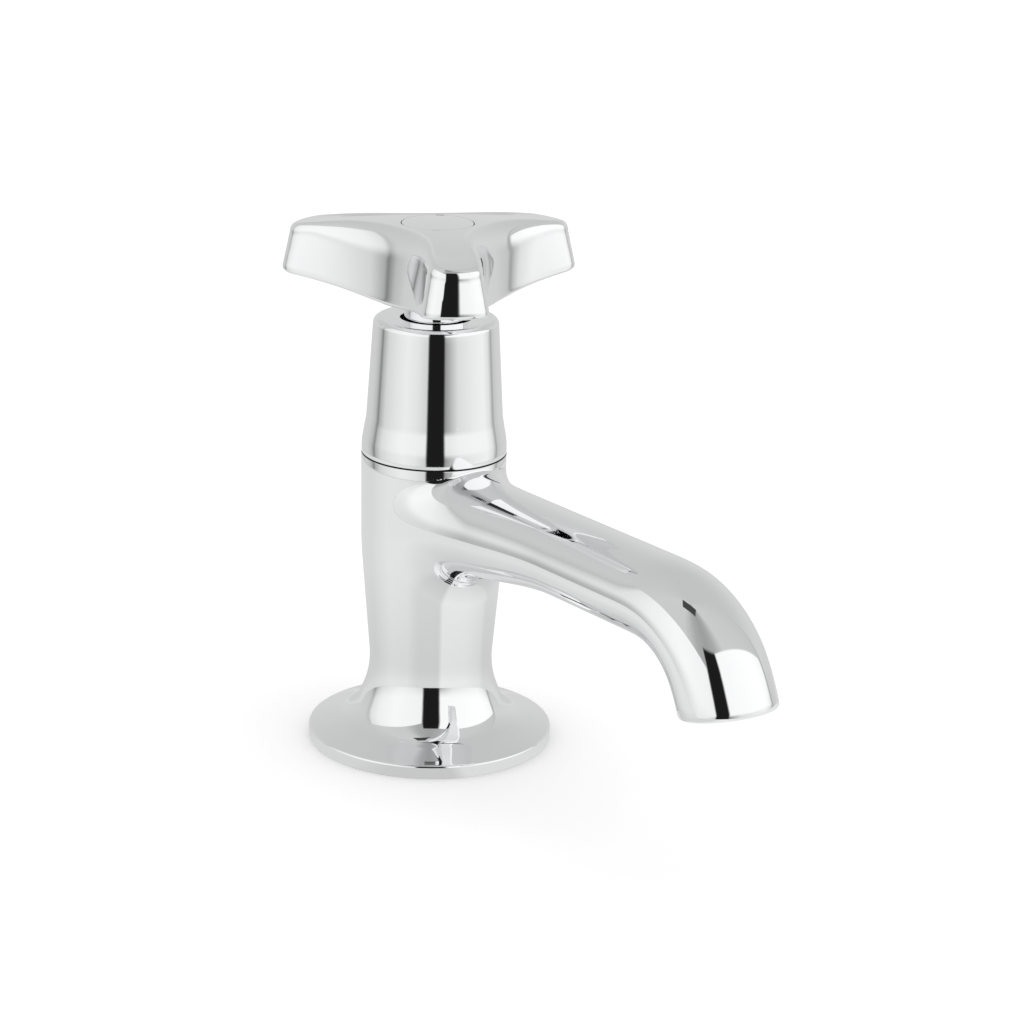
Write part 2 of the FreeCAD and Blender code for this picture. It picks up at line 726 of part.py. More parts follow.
def handle_fixings():
    ring("screw_washer", "handle_screw_radius + index_clearance", "screw_washer_radius", "web_top",
         "screw_head_bottom")
    blank = turned("handle_screw_turning", [
        ("0", "screw_head_bottom - handle_screw_length"),
        ("handle_screw_radius", "screw_head_bottom - handle_screw_length"),
        ("handle_screw_radius", "screw_head_bottom"),
        ("handle_screw_head_radius", "screw_head_bottom"),
        ("handle_screw_head_radius", "screw_head_top", "seam_rounding"),
        ("0", "screw_head_top"),
    ])
    combined("Cut", "handle_screw", blank,
             screw_slot("handle_screw_slot", "handle_screw_head_radius", "screw_head_top - screw_slot_depth"))
    corners = [("0", "index_bottom - index_spigot_length"),
               ("index_spigot_radius", "index_bottom - index_spigot_length")]
    corners += groove_corners("index_spigot_radius", "index_o_ring_seat", "index_o_ring_height",
                              "(2 * index_o_ring_section + index_clearance)")
    corners += [
        ("index_spigot_radius", "index_bottom"),
        ("index_radius", "index_bottom"),
        ("index_radius", "handle_top - running_clearance", "seam_rounding"),
        ("0", "handle_top - running_clearance"),
    ]
    turned("index_button", corners)
    o_ring("index_o_ring", "index_o_ring_radius", "index_o_ring_section", "index_o_ring_height")


NODES = [
    "body_casting", "base_seal", "back_nut_washer", "back_nut",
    "headwork_body", "headwork_washer", "cover",
    "valve_carrier", "tap_washer", "washer_screw",
    "spindle", "thrust_washer", "lower_o_ring", "upper_o_ring", "spindle_clip",
    "handle", "handle_screw", "screw_washer", "index_button", "index_o_ring",
]

body_casting()
clamping()
headwork()
valve()
spindle()
cover()
handle()
handle_fixings()
doc.recompute()

for thing in doc.Objects:
    if {"Invalid", "Error"} & set(thing.State):
        raise RuntimeError(f"{thing.Label} failed: {thing.State}")
for node in NODES:
    shape = doc.getObjectsByLabel(node)[0].Shape
    if shape.isNull() or not shape.isValid() or not shape.Solids:
        raise RuntimeError(f"{node} has no valid solid")
for node in NODES:
    shape = doc.getObjectsByLabel(node)[0].Shape
    shape.exportStep(f"parts/{node}.step")
    print(node, len(shape.Solids), round(shape.Volume, 1))
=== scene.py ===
import json
import math

import bpy
from mathutils import Matrix, Vector


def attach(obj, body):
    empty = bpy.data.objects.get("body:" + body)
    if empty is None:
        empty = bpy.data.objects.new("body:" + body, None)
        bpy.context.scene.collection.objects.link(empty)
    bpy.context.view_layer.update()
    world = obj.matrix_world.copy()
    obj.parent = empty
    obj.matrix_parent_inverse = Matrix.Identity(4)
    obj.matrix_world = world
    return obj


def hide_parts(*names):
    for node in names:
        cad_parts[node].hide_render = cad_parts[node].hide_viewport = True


# A basin pillar tap with a three-armed handle. Lengths are in millimetres and become metres in each mesh.
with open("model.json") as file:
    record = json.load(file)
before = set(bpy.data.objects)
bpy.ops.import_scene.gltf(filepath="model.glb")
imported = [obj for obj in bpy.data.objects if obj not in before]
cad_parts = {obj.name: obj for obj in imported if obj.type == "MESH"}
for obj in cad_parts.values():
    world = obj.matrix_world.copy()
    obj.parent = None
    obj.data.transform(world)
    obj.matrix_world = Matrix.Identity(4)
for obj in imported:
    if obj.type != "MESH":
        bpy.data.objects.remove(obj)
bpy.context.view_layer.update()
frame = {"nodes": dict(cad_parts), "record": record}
nodes = frame["nodes"]
MM = 0.001

# --- mesh tools ---


def only(piece):
    """Only this piece selected and active."""
    bpy.ops.object.select_all(action="DESELECT")
    piece.select_set(True)
    bpy.context.view_layer.objects.active = piece


def new_piece(name, points, edges, faces):
    """A mesh object from points in millimetres."""
    mesh = bpy.data.meshes.new(name)
    mesh.from_pydata([Vector(point) * MM for point in points], edges, faces)
    piece = bpy.data.objects.new(name, mesh)
    bpy.context.scene.collection.objects.link(piece)
    only(piece)
    return piece


def tidy(piece, angle=40.0):
    """Merged doubles, outward faces and smooth shading up to an angle."""
    only(piece)
    bpy.ops.object.mode_set(mode="EDIT")
    bpy.ops.mesh.select_all(action="SELECT")
    bpy.ops.mesh.remove_doubles(threshold=1e-7)
    bpy.ops.mesh.normals_make_consistent(inside=False)
    bpy.ops.object.mode_set(mode="OBJECT")
    bpy.ops.object.shade_smooth_by_angle(angle=math.radians(angle))
    return piece


def joined(name, *pieces):
    """All the pieces as one."""
    only(pieces[0])
    for piece in pieces:
        piece.select_set(True)
    bpy.ops.object.join()
    pieces[0].name = name
    pieces[0].data.name = name
    return pieces[0]


def rounded(corners, steps=8):
    """An outline through (radius, height) corners, with an arc at each corner that has a rounding."""
    line = []
    count = len(corners)
    for index, corner in enumerate(corners):
        here = Vector(corner[:2])
        if len(corner) == 2:
            line.append(here)
            continue
        back = (Vector(corners[index - 1][:2]) - here).normalized()
        on = (Vector(corners[(index + 1) % count][:2]) - here).normalized()
        half = back.angle(on) / 2
        run = corner[2] / math.tan(half)
        centre = here + (back + on).normalized() * (corner[2] / math.sin(half))
        first = here + back * run - centre
        last = here + on * run - centre
        sweep = first.angle_signed(last)
        for step in range(steps + 1):
            turn = Matrix.Rotation(-sweep * step / steps, 2)
            line.append(centre + turn @ first)
    return line


def filled(line, longest):
    """The outline with its long edges divided."""
    dense = []
    for index, here in enumerate(line):
        ahead = line[(index + 1) % len(line)]
        parts = max(1, math.ceil((ahead - here).length / longest))
        dense += [here.lerp(ahead, part / parts) for part in range(parts)]
    return dense


def turned(name, line, steps=192):
    """A closed outline of (radius, height) points, spun round the tap's axis."""
    count = len(line)
    piece = new_piece(name, [(spot[0], 0, spot[1]) for spot in line],
                      [(index, (index + 1) % count) for index in range(count)], [])
    bpy.ops.object.mode_set(mode="EDIT")
    bpy.ops.mesh.select_all(action="SELECT")
    bpy.ops.mesh.spin(steps=steps, angle=2 * math.pi, center=(0, 0, 0), axis=(0, 0, 1))
    bpy.ops.object.mode_set(mode="OBJECT")
    return tidy(piece)


def lofted(name, rings):
    """A skin through closed rings of points. The last ring joins the first."""
    around = len(rings[0])
    points = [point for ring in rings for point in ring]
    faces = []
    for level in range(len(rings)):
        low = level * around
        high = (level + 1) % len(rings) * around
        for index in range(around):
            after = (index + 1) % around
            faces.append((low + index, low + after, high + after, high + index))
    return tidy(new_piece(name, points, [], faces))


# --- casting: flange, pillar, spout and threaded tail ---

SEAM = 58.8
# corners of the pillar's outline: radius, height and rounding
PILLAR = [
    (24.0, 0.0, 0.25), (24.0, 2.6, 0.6), (15.6, 5.0, 7.0), (11.75, 13.8, 18.0),
    (13.95, 40.0, 90.0), (14.1, SEAM, 0.3),
]
SEAL_RADIUS, SEAL_HEIGHT = 19.5, 1.2
TAIL_END, BORE = -50.0, 5.5
SEAT_HEIGHT, CHAMBER, SHOULDER, SOCKET = 35.0, 9.6, 51.0, 10.5


def pillar_line():
    """The tap's outer outline from the tail's end to the seam, and back down the waterway."""
    pitch, depth, crest, tail, spigot = 1.814, 1.0, 0.5, 10.4775, 9.3
    low, high, chamfer, lead_in = -46.0, -3.0, 0.5, 0.2
    slope = (pitch - crest) * 0.45
    corners = [(spigot - chamfer, TAIL_END), (spigot, TAIL_END + chamfer), (spigot, low)]
    for turn in range(int((high - low) / pitch)):
        start = low + lead_in + turn * pitch
        corners += [(tail - depth, start), (tail, start + slope), (tail, start + slope + crest),
                    (tail - depth, start + 2 * slope + crest)]
    corners += [(tail, start + pitch + slope), (tail, SEAL_HEIGHT)]
    corners += [(SEAL_RADIUS, SEAL_HEIGHT), (SEAL_RADIUS, 0.0)]
    corners += PILLAR
    corners += [(SOCKET, SEAM), (SOCKET, SHOULDER + 1.0), (CHAMBER, SHOULDER), (CHAMBER, SEAT_HEIGHT),
                (BORE, SEAT_HEIGHT), (BORE, TAIL_END)]
    return corners


def pillar_radius(height):
    """The pillar's radius at a height between waist and seam."""
    level, radius, top_radius = 40.0, 13.93, 14.1
    if height >= level:
        return radius + (top_radius - radius) * (height - level) / (SEAM - level)
    return radius - 0.0016 * (level - height) ** 2 - 0.02 * (level - height)


SPOUT_TOP = 57.0
FREE_START = 24.0
BEND_START = 70.7
BEND_RADIUS = 19.0
BEND_TURN = 66.0
BEND_EASE = 7.0
PATH_STEP, PATH_LENGTH = 0.5, 84.0
# the spout's half width and half height at its root, on its level run and how much they grow in the bend
ROOT_HALVES = (10.5, 9.4)
RUN_HALVES = (9.4, 7.4)
BEND_GROWTH = (0.05, 0.35)
SPOUT_WALL = 2.2
# reach, height and tilt of the outlet's plane
OUTLET = (89.75, 34.25, 12.5)


def smooth(share):
    """0 to 1 with level ends."""
    share = min(max(share, 0.0), 1.0)
    return share * share * (3 - 2 * share)


def lean_at(share, near):
    """The spout's lean in degrees along the bend: grown evenly, but softly within near of its ends."""
    share = min(max(share, 0.0), 1.0)
    if share < near:
        grown = share * share / (2 * near)
    elif share < 1 - near:
        grown = share - near / 2
    else:
        grown = 1 - near - (1 - share) ** 2 / (2 * near)
    return BEND_TURN * grown / (1 - near)


def spout_path():
    """Points down the spout's middle: reach, height and lean in degrees."""
    bend = BEND_RADIUS * math.radians(BEND_TURN) + BEND_EASE
    reach, height, run = FREE_START, SPOUT_TOP - RUN_HALVES[1], 0.0
    path = []
    while run < PATH_LENGTH:
        lean = lean_at((FREE_START + run - BEND_START + BEND_EASE / 2) / bend, BEND_EASE / bend)
        path.append((reach, height, lean))
        reach += PATH_STEP * math.cos(math.radians(lean))
        height -= PATH_STEP * math.sin(math.radians(lean))
        run += PATH_STEP
    return path


def section(reach):
    """Half width, half height and middle height of the level run's section."""
    taper_start, taper_length = 12.0, 34.0
    share = smooth((reach - taper_start) / taper_length)
    half_width, half_height = [root + (run - root) * share for root, run in zip(ROOT_HALVES, RUN_HALVES)]
    return half_width, half_height, SPOUT_TOP - half_height


AROUND = 128
ROOT_REACH, ROOT_RINGS = 14.0, 28
TOP_SPREAD, SIDE_SPREAD, LOW_SPREAD = 1.45, 5.2, 0.8


def oval(reach, height, lean, half_width, half_height):
    """A ring across the spout, square to its lean."""
    ring = []
    tilt = math.radians(lean)
    for index in range(AROUND):
        turn = 2 * math.pi * index / AROUND
        across = half_width * math.cos(turn)
        up = half_height * math.sin(turn)
        ring.append(Vector((across, -(reach + up * math.sin(tilt)), height + up * math.cos(tilt))))
    return ring


def around_pillar(arc, z):
    """A point on the pillar, by the arc's length from the spout's side and the height."""
    radius = pillar_radius(z)
    return Vector((radius * math.sin(arc / radius), -radius * math.cos(arc / radius), z))


def free_point(reach, cos, sin):
    """A point on the level run's skin."""
    half_width, half_height, middle = section(reach)
    return Vector((half_width * cos, -reach, middle + half_height * sin))


def root_ring(t):
    """From the pillar's skin (t 0) to the spout's first free section (t 1), along a soft hollow curve."""
    ring = []
    half_width, half_height, middle = section(ROOT_REACH)
    for index in range(AROUND):
        turn = 2 * math.pi * index / AROUND
        cos, sin = math.cos(turn), math.sin(turn)
        outward = Vector((cos / half_width, sin / half_height)).normalized()
        arc = pillar_radius(middle) * math.asin(half_width * cos / pillar_radius(middle))
        # how far the blend reaches over the pillar: little at the top, under the seam, and wide elsewhere
        spread = TOP_SPREAD + SIDE_SPREAD * (1 - smooth(max(sin, 0) ** 1.5)) + LOW_SPREAD * max(-sin, 0)

        def skin(more):
            return around_pillar(arc + more * outward.x, middle + half_height * sin + more * outward.y)

        end = skin(spread)
        inward = (skin(spread - 0.05) - end).normalized()
        free = free_point(FREE_START, cos, sin)
        back = (free - free_point(FREE_START + 0.5, cos, sin)).normalized()
        leave = end + inward * spread * 0.8
        arrive = free + back * (free - skin(0)).length * 0.72
        near_pillar = end * (1 - t) ** 3 + leave * 3 * t * (1 - t) ** 2
        near_spout = arrive * 3 * t * t * (1 - t) + free * t ** 3
        ring.append(near_pillar + near_spout)
    return ring


def outlet_cut(ring, before):
    """The ring moved along the spout to the outlet's plane."""
    reach, height, tilt = OUTLET
    normal = Vector((0, math.sin(math.radians(tilt)), math.cos(math.radians(tilt))))
    spot = Vector((0, -reach, height))
    moved = []
    for here, back in zip(ring, before):
        way = (here - back).normalized()
        moved.append(here + way * ((spot - here).dot(normal) / way.dot(normal)))
    return moved


def spout_rings(inset=0.0):
    """The spout's free rings up to the outlet's plane, and the ring in that plane."""
    rings = []
    for reach, height, lean in spout_path():
        half_width, half_height, middle = section(reach)
        if lean > 0:
            share = min(lean / BEND_TURN, 1.0)
            half_width, half_height = [run + more * share for run, more in zip(RUN_HALVES, BEND_GROWTH)]
            middle = height
        rings.append(oval(reach, middle, lean, half_width - inset, half_height - inset))
    plane = Vector((0, -OUTLET[0], OUTLET[1]))
    tilt = math.radians(OUTLET[2])
    normal = Vector((0, math.sin(tilt), math.cos(tilt)))
    nearest = 0.9
    count = len([ring for ring in rings if min((spot - plane).dot(normal) for spot in ring) > nearest])
    return rings[:count], outlet_cut(rings[count], rings[count - 1])


def casting():
    """Flange, pillar, spout and tail. The pillar is turned, the spout grows out of it as a loft."""
    pillar = turned("pillar_skin", filled(rounded(pillar_line(), 12), 2.2), 192)
    root = [root_ring(step / ROOT_RINGS) for step in range(ROOT_RINGS)]
    outer, rim = spout_rings()
    bore, bore_rim = spout_rings(SPOUT_WALL)
    # the outlet's edge, rounded over four rings
    last = outer[-1]
    edge = [
        [spot.lerp(behind, 0.35) for spot, behind in zip(rim, last)],
        [spot.lerp(inside, 0.05).lerp(behind, 0.10) for spot, inside, behind in zip(rim, bore_rim, last)],
        [spot.lerp(inside, 0.18) for spot, inside in zip(rim, bore_rim)],
        bore_rim,
    ]
    into_pillar = Vector((0, 10.0, 0))
    deep = [spot + into_pillar for spot in bore[0]]
    spout = lofted("spout_skin", root + outer + edge + list(reversed(bore)) + [deep])
    return joined("casting_skin", pillar, spout)


# --- cover: the bell-shaped shroud ---

def cover():
    """The shroud, thin-walled, with a flare above the seam and a hole for the handle's collar."""
    line = rounded([
        (12.45, SEAM), (14.05, SEAM, 0.3), (14.05, 61.0, 12.0), (13.2, 65.9, 12.0), (12.0, 85.5, 1.3),
        (6.9, 85.5, 0.3), (6.9, 83.9), (10.4, 83.9), (11.6, 69.9), (12.45, 68.3),
    ], 12)
    return turned("cover_skin", filled(line, 1.5), 224)


# --- handle ---

ARM_TURN = 2.3
HANDLE_TOP = 103.9
CROWN = 152.0
UNDERSIDE = 88.4
HUB_RADIUS, UNDERSIDE_RISE, UNDERSIDE_RUN = 8.5, 3.9, 24.0
# each pair: at the handle's foot and at its top
ARM_REACH = (30.9, 28.2)
ARM_HALF_WIDTH = (6.9, 4.1)
VALLEY = (12.6, 12.0)
FLANK_LEAD = (0.0, 8.0)
CORNER_CUT = (2.9, 2.4)
END_BULGE = 1.1
FLANK_STEPS, FACE_STEPS, CORNER_STEPS = 20, 18, 10
LOWER_EDGE = 0.8
# the upper edge's rounding at the arm ends, and how much more in the valleys
UPPER_EDGE, VALLEY_EDGE = 2.0, 4.0
GROOVE_RADIUS = 7.1
BUTTON_RADIUS = 6.85


def between(pair, share):
    """From a pair's first number (share 0) to its second (share 1)."""
    return pair[0] + (pair[1] - pair[0]) * share


def crown(radius):
    """The height of the handle's crowned top."""
    return HANDLE_TOP - CROWN + math.sqrt(CROWN * CROWN - radius * radius)


def underside(radius):
    """The handle's underside: flat at the hub, rising towards the arm ends and levelling out there."""
    share = min(max(radius - HUB_RADIUS, 0.0) / UNDERSIDE_RUN, 1.0)
    return UNDERSIDE + UNDERSIDE_RISE * (1 - (1 - share) ** 1.6)


def arc_through(first, middle, last, steps):
    """Points on the circle through three points, from first to last."""
    ax, ay, bx, by, cx, cy = *first, *middle, *last
    a, b, c = first.length_squared, middle.length_squared, last.length_squared
    twice_area = 2 * (ax * (by - cy) + bx * (cy - ay) + cx * (ay - by))
    across = a * (by - cy) + b * (cy - ay) + c * (ay - by)
    up = a * (cx - bx) + b * (ax - cx) + c * (bx - ax)
    centre = Vector((across, up)) / twice_area
    start = first - centre
    to_middle = start.angle_signed(middle - centre)
    sweep = start.angle_signed(last - centre)
    if to_middle * sweep < 0:
        sweep -= math.copysign(2 * math.pi, sweep)
    return [centre + Matrix.Rotation(-sweep * step / steps, 2) @ start for step in range(steps + 1)]


def half_flank(out, side, valley, lead, cut):
    """From the corner of an arm along X to the valley: a straight run leading outwards, then a hollow arc."""
    corner = Vector((out, side))
    low = valley * Vector((0.5, math.sqrt(0.75)))
    run = Vector((-math.cos(lead), math.sin(lead)))
    # the flanks of two arms meet in the valley, 30 degrees from each arm's side
    end = math.radians(30)
    last = Vector((-math.cos(end), math.sin(end)))
    gap = low - corner
    cross = run.x * last.y - run.y * last.x
    first_length = (gap.x * last.y - gap.y * last.x) / cross
    last_length = (gap.y * run.x - gap.x * run.y) / cross
    bend = corner + run * (first_length - last_length)
    radius = last_length / math.tan((end - lead) / 2)
    centre = bend + radius * Vector((math.sin(lead), math.cos(lead)))
    first = corner + run * cut
    spots = [first.lerp(bend, step / FLANK_STEPS) for step in range(FLANK_STEPS)]
    for step in range(FLANK_STEPS + 1):
        turn = lead + (end - lead) * step / FLANK_STEPS
        spots.append(centre - radius * Vector((math.sin(turn), math.cos(turn))))
    return spots


def arms_outline(height):
    """The handle's outline at a height: bulged arm ends, rounded corners and hollow flanks."""
    share = (height - UNDERSIDE) / (HANDLE_TOP - UNDERSIDE)
    out, side, cut = between(ARM_REACH, share), between(ARM_HALF_WIDTH, share), between(CORNER_CUT, share)
    lead = math.radians(between(FLANK_LEAD, share))
    flank = half_flank(out, side, between(VALLEY, share), lead, CORNER_CUT[0])
    face = arc_through(Vector((out, -side)), Vector((out + END_BULGE, 0)), Vector((out, side)), 60)
    kept = [spot for spot in face if (spot - face[0]).length > cut and (spot - face[-1]).length > cut]
    middle = [kept[round(step * (len(kept) - 1) / FACE_STEPS)] for step in range(FACE_STEPS + 1)]
    upper = eased(middle[-1], Vector((out, side)), flank[0])
    lower = [Vector((spot.x, -spot.y)) for spot in reversed(upper)]
    falling = [Vector((spot.x, -spot.y)) for spot in reversed(flank[1:-1])]
    sector = falling + lower + middle[1:-1] + upper + flank[1:]
    outline = []
    for arm in range(3):
        turn = Matrix.Rotation(math.radians(ARM_TURN + 120 * arm), 2)
        outline += [turn @ spot for spot in sector]
    return outline


def eased(first, corner, last):
    """A soft corner from first to last."""
    spots = []
    for step in range(CORNER_STEPS + 1):
        t = step / CORNER_STEPS
        spots.append(first * (1 - t) ** 2 + corner * 2 * t * (1 - t) + last * t * t)
    return spots


def flat_way(spot):
    """The direction from the axis to a point."""
    return Vector((spot.x, spot.y, 0)).normalized()


def raised(flat, height):
    """A flat point at a height."""
    return Vector((flat.x, flat.y, height))


def handle():
    """Collar, underside, lower edge, flank, upper edge, crowned top and the button's recess, in rings."""
    flat = {}
    levels = 4

    def outline(height):
        if height not in flat:
            flat[height] = arms_outline(height)
        return flat[height]

    def at(index, height):
        """A point of the outline at any height, between the outlines at every quarter millimetre."""
        low = math.floor(height * levels) / levels
        return outline(low)[index].lerp(outline(low + 1 / levels)[index], (height - low) * levels)

    count = len(arms_outline(HANDLE_TOP))

    def outwards(index, height):
        ahead = at((index + 2) % count, height) - at((index - 2) % count, height)
        return Vector((ahead.y, -ahead.x)).normalized()

    def edge(index):
        """The upper edge's rounding: crisp at the arm ends, soft in the valleys."""
        valley_reach, fade, level = 11.0, 16.0, 96.0
        return UPPER_EDGE + VALLEY_EDGE * (1 - smooth((at(index, level).length - valley_reach) / fade))

    def wall(index, share):
        """A point up the flank, from its lower edge (share 0) to its upper one, with both edges' heights."""
        low = UNDERSIDE + 2
        for _ in range(6):
            low = underside(at(index, low).length)
        high = crown(max(at(index, HANDLE_TOP - 2).length - edge(index), 0.0))
        height = low + LOWER_EDGE + (high - edge(index) - low - LOWER_EDGE) * share
        return raised(at(index, height), height), low, high

    foot = [wall(index, 0.0) for index in range(count)]
    brow = [wall(index, 1.0) for index in range(count)]
    ways = [flat_way(spot) for spot, low, high in foot]
    rings = []
    # collar and hub underside
    spokes = [flat_way(at(index, 90.0)) for index in range(count)]
    for radius, height in ((3.6, 83.6), (5.9, 83.6), (6.07, 83.68), (6.15, 83.85), (6.15, 86.0), (6.15, 87.6),
                           (6.3, 88.1), (6.8, 88.36)):
        rings.append([raised(way * radius, height) for way in spokes])
    # underside out to the lower edge
    hub, steps = 6.8, 14
    for step in range(1, steps + 1):
        ring = []
        for index, way in enumerate(ways):
            rim = at(index, foot[index][1]).length - LOWER_EDGE
            radius = hub + (rim - hub) * step / steps
            ring.append(raised(way * radius, underside(radius)))
        rings.append(ring)
    # lower edge
    for step in range(1, 5):
        turn = math.pi / 2 * step / 5
        ring = []
        for way, (spot, low, high) in zip(ways, foot):
            radius = Vector((spot.x, spot.y)).length - LOWER_EDGE * (1 - math.sin(turn))
            ring.append(raised(way * radius, low + LOWER_EDGE * (1 - math.cos(turn))))
        rings.append(ring)
    # flank
    for step in range(13):
        rings.append([wall(index, step / 12)[0] for index in range(count)])
    # upper edge
    least, steps = GROOVE_RADIUS + 0.6, 16
    for step in range(1, steps + 1):
        turn = math.pi / 2 * step / steps
        ring = []
        for index, (spot, low, high) in enumerate(brow):
            rounding = edge(index)
            inwards = min(rounding * 0.65, at(index, HANDLE_TOP - 2).length - least) * (1 - math.cos(turn))
            top = Vector((spot.x, spot.y)) - outwards(index, spot.z) * inwards
            ring.append(raised(top, high - rounding * (1 - math.sin(turn))))
        rings.append(ring)
    # crowned top, in to the groove round the button
    last, steps = rings[-1], 24
    for step in range(1, steps + 1):
        share = step / steps
        ring = []
        for spot in last:
            rim = Vector((spot.x, spot.y))
            inner = rim.lerp(rim.normalized() * GROOVE_RADIUS, share)
            lift = (spot.z - crown(rim.length)) * (1 - smooth(share * 3))
            ring.append(raised(inner, crown(inner.length) + lift))
        rings.append(ring)
    # recess and screw hole
    top = crown(GROOVE_RADIUS)
    for radius, height in ((6.99, top - 0.10), (6.97, top - 0.3), (6.97, top - 1.6), (4.3, top - 1.65),
                           (4.3, 95.6), (3.6, 95.5)):
        rings.append([raised(flat_way(spot) * radius, height) for spot in last])
    return lofted("handle_skin", rings)


def index_button():
    """The bare insert in the handle's top, crowned like it."""
    recess, foot, shank, middle = 102.25, 98.95, 4.1, 0.05
    line = rounded([
        (0.0, HANDLE_TOP - middle), (BUTTON_RADIUS, crown(BUTTON_RADIUS) - 0.02, 0.14),
        (BUTTON_RADIUS, recess), (shank, recess), (shank, foot), (0.0, foot),
    ], 6)
    radii = [6.6 * step / 24 for step in range(24)]
    crowned = [Vector((radius, crown(radius) - 0.03)) for radius in radii]
    return turned("button_skin", crowned + line[1:], 160)


# --- finishes ---

# where a Mix node keeps its two colours and their result
MIX_FIRST, MIX_SECOND, MIX_RESULT = 6, 7, 2


class Value:
    """A number on a socket, so that plain arithmetic adds Math nodes."""

    def __init__(self, finish, socket):
        self.finish, self.socket = finish, socket

    def math(self, operation, *others):
        return self.finish.node("Math", {"operation": operation}, [self, *others]).out(0)

    def __add__(self, other):
        return self.math("ADD", other)

    def __sub__(self, other):
        return self.math("SUBTRACT", other)

    def __rsub__(self, other):
        return self.finish.node("Math", {"operation": "SUBTRACT"}, [other, self]).out(0)

    def __mul__(self, other):
        return self.math("MULTIPLY", other)

    def __truediv__(self, other):
        return self.math("DIVIDE", other)

    __radd__ = __add__
    __rmul__ = __mul__

    def ramp(self, low, high):
        """0 below low and 1 above high, softly."""
        return self.finish.node("MapRange", {"interpolation_type": "SMOOTHSTEP"},
                                {"Value": self, "From Min": low, "From Max": high}).out(0)


class Node:
    """A placed node, whose outputs are values."""

    def __init__(self, finish, node):
        self.finish, self.node = finish, node

    def out(self, name):
        return Value(self.finish, self.node.outputs[name])


class Finish:
    """A node tree of one material or world."""

    def __init__(self, owner, keep=False):
        owner.use_nodes = True
        self.tree = owner.node_tree
        if not keep:
            self.tree.nodes.clear()

    def find(self, kind):
        return next(node for node in self.tree.nodes if node.type == kind)

    def node(self, kind, settings=None, sockets=None):
        name = kind if kind.startswith("ShaderNode") else f"ShaderNode{kind}"
        node = self.tree.nodes.new(name)
        for key, setting in (settings or {}).items():
            if key == "stops":
                ramp = node.color_ramp.elements
                while len(ramp) < len(setting):
                    ramp.new(0.5)
                for element, (position, colour) in zip(ramp, setting):
                    element.position, element.color = position, (*colour, 1.0)
            else:
                setattr(node, key, setting)
        pairs = sockets.items() if isinstance(sockets, dict) else enumerate(sockets or [])
        for key, given in pairs:
            if isinstance(given, Value):
                self.tree.links.new(given.socket, node.inputs[key])
            else:
                node.inputs[key].default_value = given
        return Node(self, node)

    def place(self):
        return self.node("TexCoord").out("Object")

    def mixed(self, share, first, second):
        """A colour from first (share 0) to second (share 1)."""
        colours = {"Factor": share, MIX_FIRST: first, MIX_SECOND: second}
        return self.node("Mix", {"data_type": "RGBA"}, colours).out(MIX_RESULT)

    def noise(self, scale, detail=2.0, stretch=(1, 1, 1)):
        spot = self.node("Mapping", None, {"Vector": self.place(), "Scale": stretch}).out(0)
        return self.node("TexNoise", None, {"Vector": spot, "Scale": scale, "Detail": detail}).out(0)


SEAM_SHADE = (0.05, 0.05, 0.05, 1.0)


def finish(name, colour, rough, metal, bump, grain, spread, tone, stretch=(1, 1, 1)):
    """A procedural finish over a grain that bumps it: tone and spread vary its colour and roughness."""
    material = bpy.data.materials.new(name)
    build = Finish(material)
    fine = build.noise(grain, 3.0, stretch)
    broad = build.noise(grain / 9, 2.0)
    darker, paler = [c * (1 - tone) for c in colour], [min(c * (1 + tone), 1) for c in colour]
    shade = build.mixed(broad, (*darker, 1.0), (*paler, 1.0))
    height = build.node("Bump", None, {"Strength": bump, "Distance": 0.0001, "Height": fine}).out(0)
    surface = build.node("BsdfPrincipled", None, {
        "Base Color": shade, "Metallic": metal,
        "Roughness": rough + (broad - 0.5) * spread, "Normal": height})
    build.node("OutputMaterial", None, {"Surface": surface.out(0)})
    return material


def chrome(name, *seams):
    """Polished chrome plate: nearly a mirror with a faint haze, and a dark line of painted shade between each
    seam's heights.
    """
    material = finish(name, (0.93, 0.935, 0.94), 0.035, 1.0, 0.012, 900.0, 0.03, 0.012)
    build = Finish(material, keep=True)
    surface = build.find("BSDF_PRINCIPLED").inputs["Base Color"]
    height = build.node("SeparateXYZ", None, [build.place()]).out("Z") / MM
    soft = 0.04
    for low, high in seams:
        # painted shade: a dark line in the colour where the gap between cover and body lies in shade
        seam_shade = height.ramp(low - soft, low + soft) * (1 - height.ramp(high - soft, high + soft))
        plate = Value(build, surface.links[0].from_socket)
        build.tree.links.new(build.mixed(seam_shade, plate, SEAM_SHADE).socket, surface)
    return material


# --- pieces on their bodies ---

def dress(piece, body, slot, material, *replaced):
    """The piece's material, what it stands for and the body that it rides on."""
    piece.data.materials.clear()
    piece.data.materials.append(material)
    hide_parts(*replaced)
    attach(piece, body)


dress(casting(), "tap_body", "chrome_body", chrome("casting_chrome", (58.62, 58.9)), "body_casting")
dress(cover(), "tap_body", "chrome_cover", chrome("cover_chrome", (58.7, 58.94)), "cover")
dress(handle(), "handle_unit", "chrome_handle", chrome("handle_chrome"), "handle")
dress(index_button(), "handle_unit", "chrome_index", chrome("button_chrome"), "index_button")

